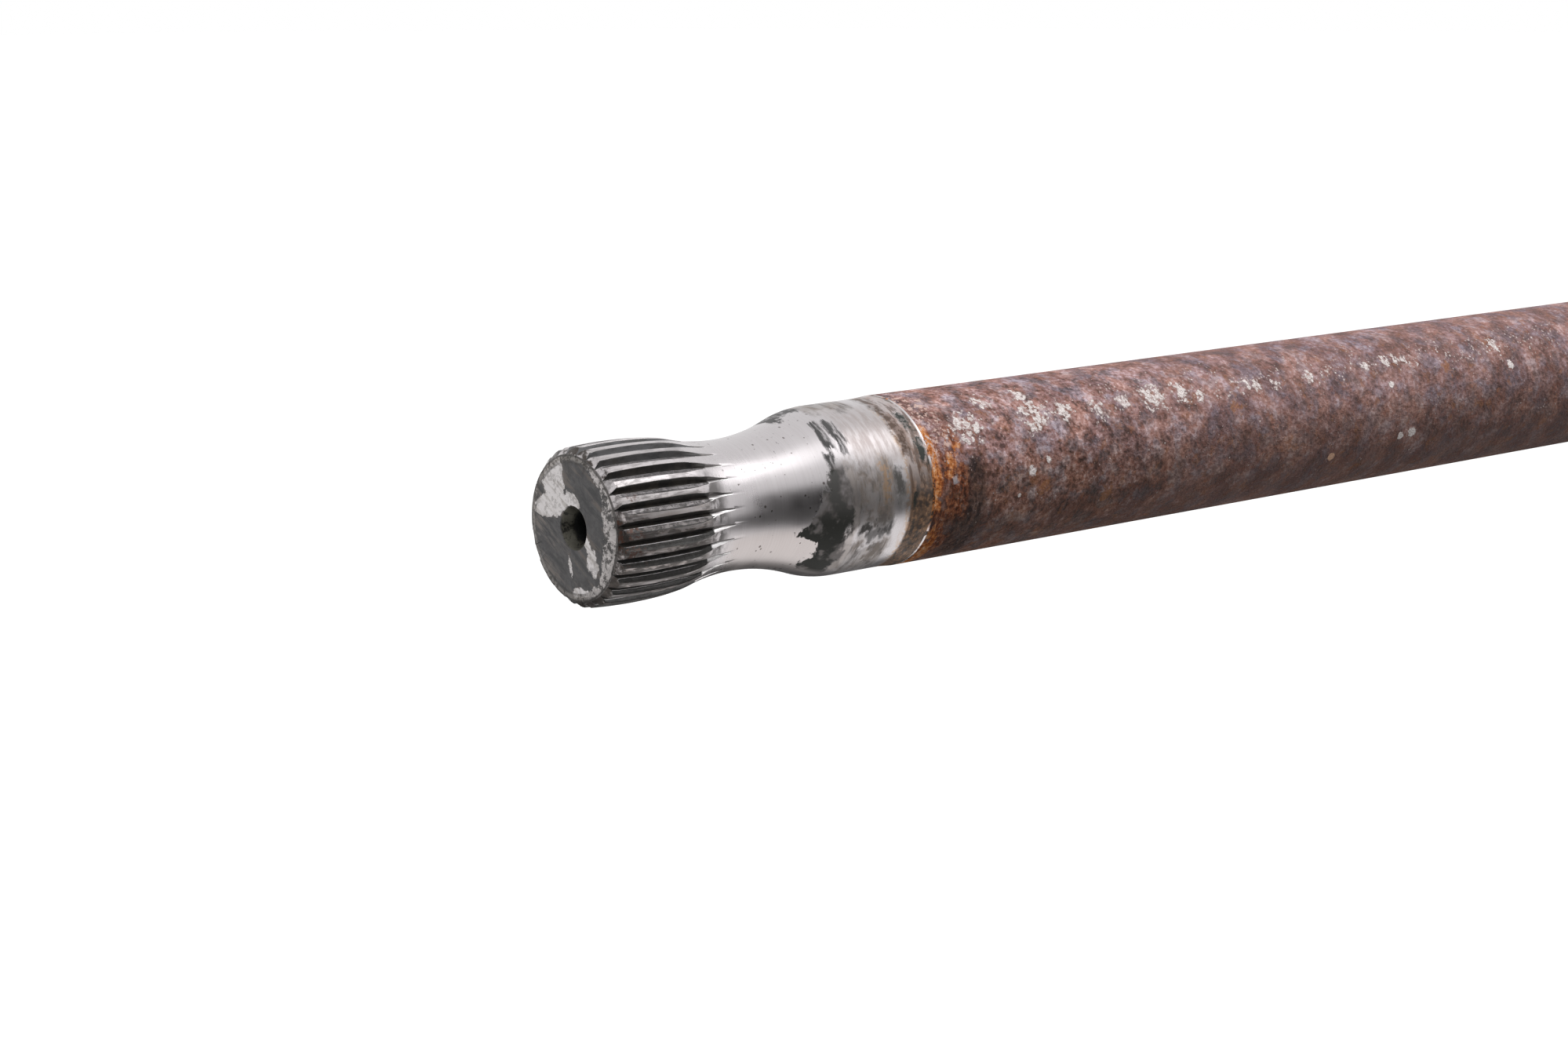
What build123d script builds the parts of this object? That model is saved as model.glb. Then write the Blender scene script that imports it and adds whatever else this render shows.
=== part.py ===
from build123d import *
import os
from math import acos, cos, degrees, pi, radians, sin, sqrt, tan

# Drive shaft of a small water-jet pump: one round bar, turned at both ends to a
# crowned splined head, a waisted neck and a ground seal track.
# Millimetres. The axis of the shaft is X, +Z is up, and the origin is on the axis at
# mid length. Distances called "from the face" start at an end face and run inwards.

# Whole shaft
overall_length = 640.0
bar_diameter = 25.4

# Seal track: ground a little under the bar, up to a chamfered step
seal_track_diameter = 25.0
seal_track_end = 54.6  # from the face
step_chamfer = 0.2

# Waisted neck between the head and the seal track
waist_diameter = 18.8
neck_radius = 35.0
flare_radius = 17.0
shoulder_radius = 22.0

# Splined head, barrel shaped so that the coupling can tilt on it
head_diameter = 22.7
crown_peak = 7.0  # from the face
crown_radius = 75.0
crown_end = 12.5  # from the face
face_diameter = 20.5
face_edge_break = 0.2
tooth_chamfer_angle = 45.0

# Spline
tooth_count = 28
pitch_diameter = 21.8
pressure_angle = 30.0
space_width = 0.67  # between two teeth, on the pitch circle
tooth_depth = 0.9
root_path_peak = 6.0  # from the face
root_path_radius = 100.0
root_path_straight = 13.0  # from the face
root_path_end = 24.0  # from the face
spline_phase = 73.95  # a tooth's centre, from +Z towards -Y

# Wear on the loaded side of every tooth
worn_bevel_width = 0.75
worn_bevel_depth = 0.44

# Centre hole
centre_hole_diameter = 6.2
centre_cone_angle = 60.0
pilot_diameter = 4.2
pilot_depth = 9.0  # from the face
drill_point_angle = 118.0

# What a cutter stands out past the surface that it cuts
cutter_margin = 0.6

bar_radius = bar_diameter / 2
head_radius = head_diameter / 2
face_radius = face_diameter / 2
pitch_radius = pitch_diameter / 2
root_radius = head_radius - tooth_depth
worn_radius = head_radius - worn_bevel_depth
pitch_step = 360 / tooth_count


def neck_angles():
    """Slopes of the outline, in degrees, where the crown, taper and flare end."""
    crown_slope = degrees(asin_of((crown_end - crown_peak) / crown_radius))
    head_drop = head_radius - waist_diameter / 2
    crown_share = (crown_radius - shoulder_radius) * cos(radians(crown_slope))
    taper_cosine = crown_radius + neck_radius - crown_share - head_drop
    taper_slope = degrees(acos(taper_cosine / (shoulder_radius + neck_radius)))
    track_rise = (seal_track_diameter - waist_diameter) / 2
    flare_slope = degrees(acos(1 - track_rise / (neck_radius + flare_radius)))
    return crown_slope, taper_slope, flare_slope


def asin_of(ratio):
    """Angle in radians whose sine is the ratio."""
    return pi / 2 - acos(ratio)


def crown_height(distance):
    """Radius of the crowned tooth tips at a distance from the face."""
    offset = distance - crown_peak
    return head_radius - crown_radius + sqrt(crown_radius**2 - offset**2)


def chamfer_end():
    """Distance from the face where the straight tooth chamfer meets the crown arc."""
    slope = tan(radians(tooth_chamfer_angle))
    height = face_radius - slope * face_edge_break - head_radius + crown_radius
    squares = 1 + slope**2
    half_linear = slope * height - crown_peak
    constant = crown_peak**2 + height**2 - crown_radius**2
    return (sqrt(half_linear**2 - squares * constant) - half_linear) / squares


def half_blank():
    """Half of the bar, turned to its outline, from the end face to mid length."""
    crown_slope, taper_slope, flare_slope = neck_angles()
    edge_start = (0, face_radius - face_edge_break)
    edge_end = (face_edge_break, face_radius)
    crown_start = (chamfer_end(), crown_height(chamfer_end()))
    rise_slope = degrees(asin_of((crown_peak - crown_start[0]) / crown_radius))
    heading = (cos(radians(rise_slope)), sin(radians(rise_slope)))

    face = Line((0, 0), edge_start)
    edge = Line(edge_start, edge_end)
    chamfer = Line(edge_end, crown_start)
    crown = JernArc(crown_start, heading, crown_radius, -rise_slope - crown_slope)
    shoulder = JernArc(crown @ 1, crown % 1, shoulder_radius, crown_slope - taper_slope)
    neck = JernArc(shoulder @ 1, shoulder % 1, neck_radius, taper_slope + flare_slope)
    flare = JernArc(neck @ 1, neck % 1, flare_radius, -flare_slope)
    track = Line(flare @ 1, (seal_track_end, (flare @ 1).Y))
    step = Line(track @ 1, (seal_track_end + step_chamfer, bar_radius))
    bar = Line(step @ 1, (overall_length / 2, bar_radius))
    middle = Line(bar @ 1, (overall_length / 2, 0))
    axis_line = Line(middle @ 1, (0, 0))
    edges = [face, edge, chamfer, crown, shoulder, neck, flare, track, step, bar, middle, axis_line]
    return revolve(Plane.XZ * make_face(Curve() + edges), Axis.X)


def space_half_angle(radius):
    """Half of a tooth space at a radius, in radians, between two involute flanks."""
    base_radius = pitch_radius * cos(radians(pressure_angle))
    pitch_roll = radians(pressure_angle)
    roll = acos(base_radius / radius)
    widening = (tan(roll) - roll) - (tan(pitch_roll) - pitch_roll)
    return space_width / 2 / pitch_radius + widening


def flank_point(radius, side):
    """A point on the flank at one side of a tooth space that is centred on +Z."""
    angle = space_half_angle(radius)
    return (side * radius * sin(angle), radius * cos(angle))


def tooth_space():
    """Section between two teeth: sound flank, flat root, flank and worn bevel."""
    outside = head_radius + cutter_margin
    middle_radius = (root_radius + head_radius) / 2
    worn_middle = (root_radius + worn_radius) / 2
    worn_start = flank_point(worn_radius, -1)
    bevel_rise = outside - worn_start[1]
    bevel_run = bevel_rise * worn_bevel_width / worn_bevel_depth
    bevel_top = (worn_start[0] - bevel_run, outside)
    sound_top = (flank_point(outside, 1)[0], outside)

    sound = ThreePointArc(flank_point(outside, 1), flank_point(middle_radius, 1), flank_point(root_radius, 1))
    root = Line(sound @ 1, flank_point(root_radius, -1))
    worn_flank = ThreePointArc(root @ 1, flank_point(worn_middle, -1), worn_start)
    bevel = Line(worn_start, bevel_top)
    top = Line(bevel_top, sound_top)
    close = Line(sound_top, flank_point(outside, 1))
    return make_face(Curve() + [sound, root, worn_flank, bevel, top, close])


def space_cutter():
    """One tooth space swept along the crowned root path, past the face and the neck."""
    straight_slope = degrees(asin_of((root_path_straight - root_path_peak) / root_path_radius))
    start_slope = degrees(asin_of((root_path_peak + cutter_margin) / root_path_radius))
    start_drop = root_path_radius * (1 - cos(radians(start_slope)))
    start = (-cutter_margin, root_radius - start_drop)
    heading = (cos(radians(start_slope)), sin(radians(start_slope)))
    arc = JernArc(start, heading, root_path_radius, -start_slope - straight_slope)
    run = (root_path_end - root_path_straight) / cos(radians(straight_slope))
    straight = PolarLine(arc @ 1, run, direction=arc % 1)
    path = Plane.XZ * (Curve() + [arc, straight])
    start_plane = Plane(
        origin=(start[0], 0, start[1]),
        x_dir=(0, 1, 0),
        z_dir=(heading[0], 0, heading[1]),
    )
    section = start_plane * Pos(0, -root_radius) * tooth_space()
    return sweep(section, path=path)


def splined_end():
    """Half blank with its tooth spaces cut and its centre hole drilled."""
    cutter = space_cutter()
    first_space = spline_phase + pitch_step / 2
    spaces = [Rot(first_space + pitch_step * tooth, 0, 0) * cutter for tooth in range(tooth_count)]
    return half_blank() - spaces - centre_hole()


def centre_hole():
    """Countersunk mouth, cylindrical pilot and drill point, along the axis."""
    mouth_radius = centre_hole_diameter / 2
    pilot_radius = pilot_diameter / 2
    cone_slope = tan(radians(centre_cone_angle / 2))
    cone_depth = (mouth_radius - pilot_radius) / cone_slope
    point_depth = pilot_radius / tan(radians(drill_point_angle / 2))
    outline = Polyline(
        (-cutter_margin, 0),
        (-cutter_margin, mouth_radius + cutter_margin * cone_slope),
        (cone_depth, pilot_radius),
        (pilot_depth, pilot_radius),
        (pilot_depth + point_depth, 0),
        close=True,
    )
    return revolve(Plane.XZ * make_face(outline), Axis.X)


def drive_shaft():
    """Whole shaft: both ends are cut alike, each the other turned end for end."""
    near_half = Pos(-overall_length / 2, 0, 0) * splined_end()
    far_half = Rot(0, 0, 180) * near_half
    return near_half + far_half


os.makedirs("parts", exist_ok=True)
shaft = drive_shaft()
shaft.label = "drive_shaft"
export_step(shaft, "parts/drive_shaft.step")
print("volume", round(shaft.volume), "size", shaft.bounding_box().size)
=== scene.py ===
"""Looks of the drive shaft of a water-jet pump: one round bar with splined ends."""

import math

import bmesh
import bpy
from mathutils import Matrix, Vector, noise


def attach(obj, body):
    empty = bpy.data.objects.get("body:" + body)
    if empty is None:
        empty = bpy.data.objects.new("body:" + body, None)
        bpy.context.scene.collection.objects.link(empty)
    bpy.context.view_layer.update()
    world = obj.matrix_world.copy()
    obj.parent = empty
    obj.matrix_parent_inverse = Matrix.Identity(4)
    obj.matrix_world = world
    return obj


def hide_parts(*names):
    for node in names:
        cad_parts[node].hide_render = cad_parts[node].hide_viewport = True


# The shaft in millimetres. "From face" is measured along the axis from an end face,
# and a "turn" is in degrees from +Z towards the side that the camera sees.
MM = 0.001
overall_length = 640.0
half_length = overall_length / 2
bar_radius = 12.7

track_radius = 12.5
track_start = 42.81
track_end = 54.6
step_end = 54.8

waist_from_face = 25.126
waist_radius = 9.4
neck_arc = 35.0
neck_end = 37.03
flare_arc = 17.0
shoulder_arc = 22.0
shoulder_end = 16.383

head_radius = 11.35
crown_peak = 7.0
crown_arc = 75.0
crown_end = 12.5
face_radius = 10.25
rim_radius = 10.05
edge_break = 0.2
chamfer_end = 1.065
chamfer_top_radius = 11.115

hole_radius = 3.1
pilot_radius = 2.1
cone_end = 1.732
pilot_end = 9.0
drill_tip = 10.262

# The spline
tooth_count = 28
tooth_pitch = 360 / tooth_count
first_space_turn = 80.379
pitch_radius = 10.9
base_radius = 9.4397
space_width = 0.67
root_radius = 10.45
root_peak = 6.0
root_arc = 100.0
root_straight = 13.0
space_end = 20.6
even_again = 33.0
worn_radius = 10.91
bevel_slope = 0.75 / 0.44

# A tooth's rounded edge, at most a share of its depth, and the dark line under its
# bevel, at most a share of the bevel's drop
edge_width = 0.035
edge_share = 0.2
dark_line_drop = 0.05
dark_line_share = 0.3

# Where the spaces run out, their floors turn hollow and their mouths spread
hollow_start = 14.5
spread_start = 15.0
run_out_length = 2.5
floor_hollow = 0.08
run_out_hollow = 0.37
run_out_spread = 0.6

# Wear: how far it reaches, and the (size, depth) of its nicks
tip_wear_end = 3.0
tip_nicks = (0.7, 0.35)
bevel_wear_end = 14.0
bevel_nicks = (0.5, 0.12)
rim_wear_end = 0.3
rim_wear_start = 8.0
rim_wear_fade = 2.0
rim_nicks = (1.1, 0.25)

# The mesh: sixteen columns to a tooth, from the middle of one space to the next
columns_per_tooth = 16
column_count = tooth_count * columns_per_tooth
column_turn = 360 / column_count
first_space_column = 100
land_steps = 5
sound_steps = 3
bevel_columns = (2, 3, 4)
land_columns = range(5, 13)
bevel_strips = (3, 4)
land_strips = range(6, 12)
face_fade = 3.0
merge_distance = 0.0005
sharp_angle = 38

# How far past its edge break the end face's finish goes, and how far below the outline
# a face can lie and still be a tooth's top
end_margin = 0.05
land_margin = 0.015


# Outline


def root_drop(from_face):
    """How far the floor of a tooth space lies below its highest point."""
    reach = min(from_face, root_straight) - root_peak
    arc_drop = root_arc - math.sqrt(root_arc**2 - reach**2)
    slope = reach / math.sqrt(root_arc**2 - reach**2)
    return arc_drop + max(from_face - root_straight, 0) * slope


def outline_radius(from_face):
    """Radius of the turned outline between the tooth chamfer and the bar."""
    crown_centre = head_radius - crown_arc
    if from_face < crown_end:
        return crown_centre + math.sqrt(crown_arc**2 - (from_face - crown_peak) ** 2)
    if from_face < shoulder_end:
        slope = math.asin((crown_end - crown_peak) / crown_arc)
        reach = crown_peak + (crown_arc - shoulder_arc) * math.sin(slope)
        centre = crown_centre + (crown_arc - shoulder_arc) * math.cos(slope)
        return centre + math.sqrt(shoulder_arc**2 - (from_face - reach) ** 2)
    if from_face < neck_end:
        reach = from_face - waist_from_face
        return waist_radius + neck_arc - math.sqrt(neck_arc**2 - reach**2)
    if from_face < track_start:
        reach = track_start - from_face
        return track_radius - flare_arc + math.sqrt(flare_arc**2 - reach**2)
    if from_face <= track_end:
        return track_radius
    return bar_radius


def outline_runs():
    """Corners of the outline from the drill tip to mid length, and the rings between."""
    return [
        (drill_tip, 0.0, 0),
        (pilot_end, pilot_radius, 2),
        (cone_end, pilot_radius, 3),
        (0.1, hole_radius - 0.05, 0),
        (0.0, hole_radius + 0.06, 5),
        (0.0, rim_radius, 0),
        (0.06, rim_radius + 0.14, 0),
        (edge_break, face_radius, 4),
        (chamfer_end, chamfer_top_radius, 25),
        (crown_end, outline_radius(crown_end), 10),
        (shoulder_end, outline_radius(shoulder_end), 13),
        (space_end, outline_radius(space_end), 12),
        (neck_end, outline_radius(neck_end), 7),
        (track_start, track_radius, 4),
        (track_end, track_radius, 0),
        (step_end, bar_radius, 6),
        (half_length, bar_radius, 0),
    ]


def draw_outline(bm):
    """The outline of the whole shaft as a chain of edges in the plane above the axis."""
    near = outline_runs()
    far = near[-2::-1]
    rings = [run[2] for run in near[:-1]]
    rings += rings[::-1]
    places = [(from_face - half_length, radius) for from_face, radius, _ in near]
    places += [(half_length - from_face, radius) for from_face, radius, _ in far]
    corners = [bm.verts.new((x * MM, 0, radius * MM)) for x, radius in places]
    for start, end, cuts in zip(corners, corners[1:], rings):
        edge = bm.edges.new((start, end))
        for left in range(cuts, 0, -1):
            _, ring = bmesh.utils.edge_split(edge, start, 1 / (left + 1))
            edge = next(part for part in ring.link_edges if end in part.verts)
            start = ring
    for vertex in bm.verts:
        from_face = half_length - abs(vertex.co.x) / MM
        if vertex.co.z / MM > hole_radius and from_face > chamfer_end:
            vertex.co.z = outline_radius(from_face) * MM
    return bm.verts[:] + bm.edges[:]


# Teeth


def half_space(radius):
    """Half the width of a tooth space at a radius, between involute flanks."""
    pitch_roll = math.acos(base_radius / pitch_radius)
    roll = math.acos(base_radius / max(radius, root_radius))
    spread = (math.tan(roll) - roll) - (math.tan(pitch_roll) - pitch_roll)
    return max(radius, root_radius) * math.sin(space_width / 2 / pitch_radius + spread)


def tooth_section(surface, drop, rounding, widening):
    """Turn and radius of the sixteen columns, from one space's middle to the next.

    surface is the outline's radius there, drop is the root path's fall, and rounding
    is the share of the depth by which the floor's two edges stand above its middle.
    widening is how many times wider the space is than the involute form.
    """
    top = max(surface + drop, root_radius)
    worn = min(worn_radius, top)
    floor = min(root_radius - drop, surface)
    depth = surface - floor

    def turn(width, radius):
        return math.degrees(width / radius)

    root_turn = turn(half_space(root_radius) * widening, floor)
    sound_turn = turn(half_space(top) * widening, surface)
    worn_turn = turn(half_space(worn) * widening, worn - drop if depth else surface)
    bevel_drop = top - worn
    bevel_turn = worn_turn + turn(bevel_drop * bevel_slope, surface)
    edge = min(edge_width, depth * edge_share)
    edge_turn = turn(edge, surface)
    line = min(dark_line_drop, bevel_drop * dark_line_share)
    land_start = bevel_turn + edge_turn
    land_end = tooth_pitch - sound_turn - edge_turn
    land_step = (land_end - land_start) / land_steps
    sound_step = (sound_turn - root_turn) / sound_steps
    worn_middle = floor + (worn - drop - floor) * (0.5 + rounding / 2) if depth else surface
    section = [
        (0, floor),
        (root_turn, floor + depth * rounding),
        ((root_turn + worn_turn) / 2, worn_middle),
        (worn_turn, surface - bevel_drop),
        ((worn_turn + bevel_turn) / 2, surface - bevel_drop / 2 - line),
        (bevel_turn - edge_turn, surface - line * 2),
    ]
    section += [(land_start + land_step * i, surface) for i in range(land_steps + 1)]
    section += [
        (tooth_pitch - sound_turn + edge_turn * 0.4, surface - edge * 1.6),
        (tooth_pitch - root_turn - sound_step * 2, surface - depth * (0.4 - rounding * 0.3)),
        (tooth_pitch - root_turn - sound_step, surface - depth * (0.75 - rounding * 0.7)),
        (tooth_pitch - root_turn, floor + depth * rounding),
    ]
    return section


def smooth_step(value):
    """0 for a value up to 0, 1 for a value from 1, and a smooth curve between."""
    value = min(max(value, 0), 1)
    return value * value * (3 - 2 * value)


def place_column(from_face, radius, column):
    """Turn and radius of a column's point on the outline, with the teeth cut in."""
    even = column * column_turn
    tooth, index = divmod(column - first_space_column, columns_per_tooth)
    outside = from_face > edge_break / 2 and radius > hole_radius + 1
    within_teeth = outside and from_face < space_end
    drop = root_drop(min(from_face, space_end))
    floor_surface = radius if within_teeth else min(radius, root_radius - drop)
    hollow = smooth_step((from_face - hollow_start) / run_out_length)
    spread = smooth_step((from_face - spread_start) / run_out_length)
    rounding = floor_hollow + run_out_hollow * hollow
    widening = 1 + run_out_spread * spread
    turn, cut_radius = tooth_section(floor_surface, drop, rounding, widening)[index]
    turn += first_space_turn + tooth * tooth_pitch
    beyond = (from_face - space_end) / (even_again - space_end)
    inside = 0 if outside else (face_radius - radius) / face_fade
    away = smooth_step(max(beyond, inside))
    turn += (even - turn) * away
    return turn, cut_radius if within_teeth else radius


# Wear that shows in the shape


def ragged(place, size, depth):
    """A random amount from 0 up to the depth, which changes over the size."""
    return depth * max(noise.noise(place / size), 0)


def worn_away(place, from_face, radius, column):
    """How far wear and dents lower a point, in millimetres."""
    lost = 0.0
    if from_face < tip_wear_end and column in land_columns and radius > face_radius:
        near_tip = smooth_step((tip_wear_end - from_face) / tip_wear_end)
        lost += ragged(place, *tip_nicks) * near_tip
    if from_face < bevel_wear_end and column in bevel_columns and radius > face_radius:
        lost += ragged(place, *bevel_nicks)
    if from_face < rim_wear_end and radius > rim_wear_start:
        near_rim = smooth_step((radius - rim_wear_start) / rim_wear_fade)
        lost += ragged(place, *rim_nicks) * near_rim
    return lost


def shape_ends(bm):
    """Cuts the teeth into both ends by moving the columns of the turned shape."""
    column_layer = bm.verts.layers.int.new("column")
    for vertex in bm.verts:
        side = 1 if vertex.co.x < 0 else -1
        from_face = half_length - abs(vertex.co.x) / MM
        radius = math.hypot(vertex.co.y, vertex.co.z) / MM
        turn = math.degrees(math.atan2(-vertex.co.y * side, vertex.co.z))
        column = round(turn / column_turn) % column_count
        vertex[column_layer] = (column - first_space_column) % columns_per_tooth
        if from_face > even_again or radius < 0.01:
            continue
        turn, radius = place_column(from_face, radius, column)
        lost = worn_away(vertex.co / MM, from_face, radius, vertex[column_layer])
        if from_face < edge_break / 2:
            from_face += lost
        else:
            radius -= lost
        vertex.co.x = side * (from_face - half_length) * MM
        vertex.co.y = -side * radius * math.sin(math.radians(turn)) * MM
        vertex.co.z = radius * math.cos(math.radians(turn)) * MM
    return column_layer


finishes = [
    "end_face_steel",
    "centre_hole_steel",
    "turned_steel",
    "worn_tooth_steel",
    "tooth_space_grease",
    "rusted_bar",
]


def finish_of(face, column_layer):
    """Name of the finish that a face of the shaft has."""
    middle = face.calc_center_median()
    from_face = half_length - abs(middle.x) / MM
    radius = math.hypot(middle.y, middle.z) / MM
    if radius < hole_radius:
        return "centre_hole_steel"
    if from_face > step_end:
        return "rusted_bar"
    if from_face < edge_break + end_margin and radius < face_radius:
        return "end_face_steel"
    if from_face > space_end:
        return "turned_steel"
    if radius > outline_radius(max(from_face, chamfer_end)) - land_margin:
        return "turned_steel"
    columns = sorted({vertex[column_layer] for vertex in face.verts})
    strip = columns[-1] if columns == [0, columns_per_tooth - 1] else columns[0]
    if strip in land_strips:
        return "turned_steel"
    if strip in bevel_strips:
        return "worn_tooth_steel"
    return "tooth_space_grease"


def new_object(name, bm):
    """An object in the scene with the built mesh."""
    mesh = bpy.data.meshes.new(name)
    bm.to_mesh(mesh)
    bm.free()
    thing = bpy.data.objects.new(name, mesh)
    bpy.context.scene.collection.objects.link(thing)
    return thing


def spin(bm, parts, turn, steps, copies=False):
    """Turns parts round the shaft's axis in steps, as a skin or as copies."""
    bmesh.ops.spin(
        bm,
        geom=parts,
        cent=(0, 0, 0),
        axis=(1, 0, 0),
        angle=math.radians(turn),
        steps=steps,
        use_duplicate=copies,
    )


def build_shaft():
    """The whole shaft, spun from its outline, with its teeth and its finishes."""
    bm = bmesh.new()
    spin(bm, draw_outline(bm), tooth_pitch, columns_per_tooth)
    one_tooth = bm.verts[:] + bm.edges[:] + bm.faces[:]
    spin(bm, one_tooth, tooth_pitch * (tooth_count - 1), tooth_count - 1, copies=True)
    bmesh.ops.remove_doubles(bm, verts=bm.verts, dist=merge_distance * MM)
    column_layer = shape_ends(bm)
    bmesh.ops.recalc_face_normals(bm, faces=bm.faces)
    for face in bm.faces:
        face.smooth = True
        face.material_index = finishes.index(finish_of(face, column_layer))
    for edge in bm.edges:
        edge.smooth = edge.is_manifold and edge.calc_face_angle() < math.radians(sharp_angle)
    return new_object("shaft", bm)


# Shader helpers


class Value:
    """A number, mask, place or colour that a shader works out at every point."""

    def __init__(self, socket):
        self.socket = socket
        self.tree = socket.id_data

    def __add__(self, other):
        return calc("ADD", self, other)

    def __sub__(self, other):
        return calc("SUBTRACT", self, other)

    def __rsub__(self, other):
        return calc("SUBTRACT", other, self)

    def __mul__(self, other):
        return calc("MULTIPLY", self, other)

    def __truediv__(self, other):
        return calc("DIVIDE", self, other)


def feed(socket, value):
    """Links a value to a socket, or sets the socket to a number or a colour."""
    if isinstance(value, Value):
        value.tree.links.new(value.socket, socket)
    elif isinstance(value, tuple) and socket.type == "RGBA":
        socket.default_value = (*value, 1.0)
    else:
        socket.default_value = value


def feed_all(sockets, values):
    for socket, value in zip(sockets, values):
        feed(socket, value)


def values_of(node):
    """A node's outputs by name."""
    return {socket.name: Value(socket) for socket in node.outputs}


def new_node(kind, *values):
    """A node in the values' shader, with its first inputs fed by them."""
    tree = next(value.tree for value in values if isinstance(value, Value))
    node = tree.nodes.new(kind)
    feed_all(node.inputs, values)
    return node


def calc(operation, first, second=0.0, clamp=False):
    node = new_node("ShaderNodeMath", first, second)
    node.operation = operation
    node.use_clamp = clamp
    return Value(node.outputs[0])


def length(across, up):
    return calc("SQRT", across * across + up * up)


def either(*masks):
    """The strongest of several masks. Masks that are multiplied leave what both cover."""
    result = masks[0]
    for mask in masks[1:]:
        result = calc("MAXIMUM", result, mask)
    return result


def fade(value, start, end, low=0.0, high=1.0):
    """Goes smoothly from low to high as the value goes from start to end."""
    node = new_node("ShaderNodeMapRange", value, start, end, low, high)
    node.interpolation_type = "SMOOTHSTEP"
    return Value(node.outputs["Result"])


def blend(mask, under, over, mode="MIX"):
    """Colour over laid on colour under where the mask is."""
    tree = next(value.tree for value in (mask, under) if isinstance(value, Value))
    node = tree.nodes.new("ShaderNodeMix")
    node.data_type = "RGBA"
    node.blend_type = mode
    colours = [socket for socket in node.inputs if socket.type == "RGBA"]
    feed_all((node.inputs[0], *colours), (mask, under, over))
    return Value(next(socket for socket in node.outputs if socket.type == "RGBA"))


def ramp(value, *stops):
    """Colour that passes through the stops, each (value, colour), as the value rises."""
    node = new_node("ShaderNodeValToRGB", value)
    elements = node.color_ramp.elements
    while len(elements) < len(stops):
        elements.new(0.5)
    for element, (position, colour) in zip(elements, stops):
        element.position = position
        element.color = (*colour, 1.0)
    return Value(node.outputs["Color"])


def vector_math(operation, place, amounts):
    node = new_node("ShaderNodeVectorMath", place, amounts)
    node.operation = operation
    return Value(node.outputs[0])


def split(place):
    """The three coordinates of a place."""
    return [Value(socket) for socket in new_node("ShaderNodeSeparateXYZ", place).outputs]


def clouds(place, size, detail=4.0, roughness=0.6, shape=(1, 1, 1), offset=0.0):
    """Random cloudy value near 0.5, with clouds of the given size in millimetres."""
    place = vector_math("MULTIPLY", place, shape)
    if offset:
        place = vector_math("ADD", place, (offset, offset * 1.7, offset * 0.6))
    node = new_node("ShaderNodeTexNoise", place)
    node.inputs["Scale"].default_value = 1 / size
    node.inputs["Detail"].default_value = detail
    node.inputs["Roughness"].default_value = roughness
    return Value(node.outputs["Fac"])


def cells(place, size):
    """Distance from the nearest of many random points, 0 to about 1."""
    node = new_node("ShaderNodeTexVoronoi", place)
    node.inputs["Scale"].default_value = 1 / size
    return Value(node.outputs["Distance"])


def bump(height, distance):
    """Normal of a surface whose height goes up to a distance in millimetres."""
    node = height.tree.nodes.new("ShaderNodeBump")
    node.inputs["Distance"].default_value = distance * MM
    feed(node.inputs["Height"], height)
    return Value(node.outputs["Normal"])


def new_group(name, inputs, outputs):
    """A node group, the values that enter it, and the sockets that they leave by."""
    tree = bpy.data.node_groups.new(name, "ShaderNodeTree")
    for title, kind in inputs.items():
        tree.interface.new_socket(title, in_out="INPUT", socket_type=kind)
    for title, kind in outputs.items():
        tree.interface.new_socket(title, in_out="OUTPUT", socket_type=kind)
    entry = tree.nodes.new("NodeGroupInput")
    leave = tree.nodes.new("NodeGroupOutput")
    return tree, values_of(entry), leave.inputs


def use_group(tree, group, *values):
    node = tree.nodes.new("ShaderNodeGroup")
    node.node_tree = group
    feed_all(node.inputs, values)
    return values_of(node)


def new_material(name):
    """A material, its node tree and the inputs of its surface."""
    material = bpy.data.materials.new(name)
    material.use_nodes = True
    tree = material.node_tree
    return material, tree, tree.nodes["Principled BSDF"].inputs


# Node groups

NUMBER = "NodeSocketFloat"
VECTOR = "NodeSocketVector"
COLOUR = "NodeSocketColor"

# How far the drift moves the edge of a stain along the shaft and round it, and how
# many degrees its edge is wide round the shaft for a millimetre along it
stain_drift = 3.0
stain_drift_turn = 45.0
stain_edge_turn = 8.0


def make_shaft_place():
    """Where a point is on the shaft, the same for both ends."""
    numbers = dict.fromkeys(["From Face", "Turn", "Tooth"], NUMBER)
    places = dict.fromkeys(["Place", "End Place"], VECTOR)
    tree, _, leave = new_group("shaft_place", {}, numbers | places)
    coordinates = values_of(tree.nodes.new("ShaderNodeTexCoord"))
    place = vector_math("MULTIPLY", coordinates["Object"], (1 / MM, 1 / MM, 1 / MM))
    along, across, up = split(place)
    from_face = half_length - calc("ABSOLUTE", along)
    towards_camera = across * calc("SIGN", along)
    turn = calc("DEGREES", calc("ARCTAN2", towards_camera, up))
    pitches = (turn - first_space_turn) / tooth_pitch
    tooth = pitches - calc("FLOOR", pitches)
    join = new_node("ShaderNodeCombineXYZ", from_face, towards_camera, up)
    feed_all(leave, (from_face, turn, tooth, place, Value(join.outputs[0])))
    return tree


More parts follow.
